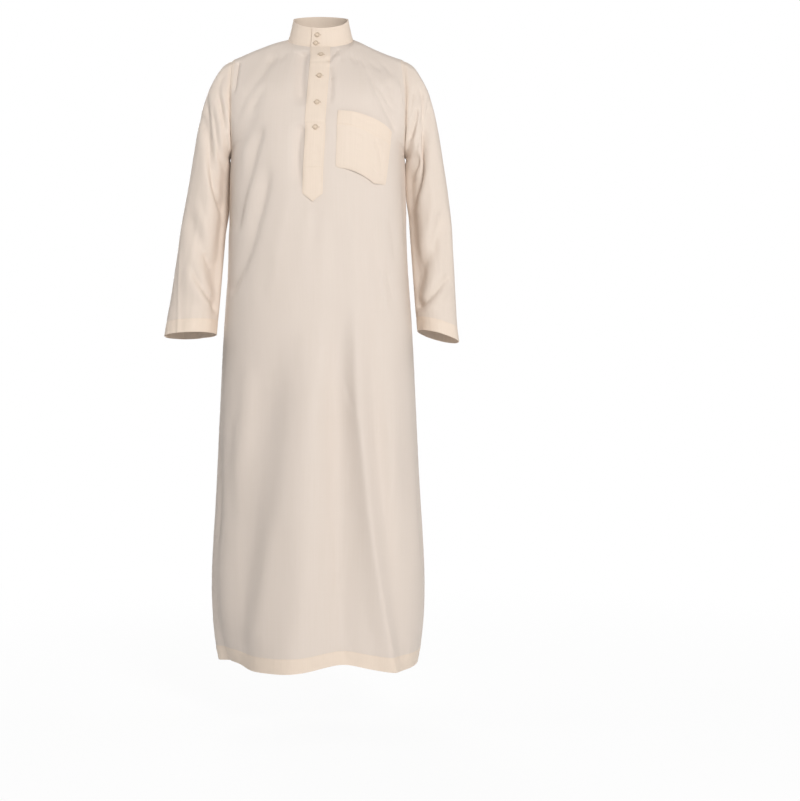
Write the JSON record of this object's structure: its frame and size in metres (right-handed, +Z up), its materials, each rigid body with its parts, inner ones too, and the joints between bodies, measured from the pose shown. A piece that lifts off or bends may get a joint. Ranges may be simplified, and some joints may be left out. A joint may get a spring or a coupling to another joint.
{
  "type": "ankle-length robe (thobe) with a stand collar, half placket and chest pocket, as worn",
  "caption": "Ankle-length cream robe as worn, hollow, with a stand collar, buttoned half placket, chest pocket and long straight sleeves.",
  "frame": {"origin": "middle of the neck seam, between the two neck points of the shoulder seams, where the wearer's neck passes through; the shoulders just under it carry the robe", "axes": "+Z up, -Y out of the front, +X towards the wearer's left"},
  "size_m": [0.631, 0.3602, 1.3966],
  "materials": {
    "cloth": "fine plain weave, single layer, soft satin sheen, cream",
    "doubled_cloth": "the same cream weave in two layers, warmer and denser",
    "button": "cream moulded shirt button with a low gloss"
  },
  "bodies": {
    "root": {"front_panel": "cloth", "back_panel": "cloth", "sleeve_right": "cloth", "sleeve_left": "cloth", "collar": "doubled_cloth", "placket": "doubled_cloth", "chest_pocket": "doubled_cloth", "placket_button_1": "button", "placket_button_2": "button", "placket_button_3": "button", "placket_button_4": "button", "collar_button_1": "button", "collar_button_2": "button"}
  },
  "joints": []
}
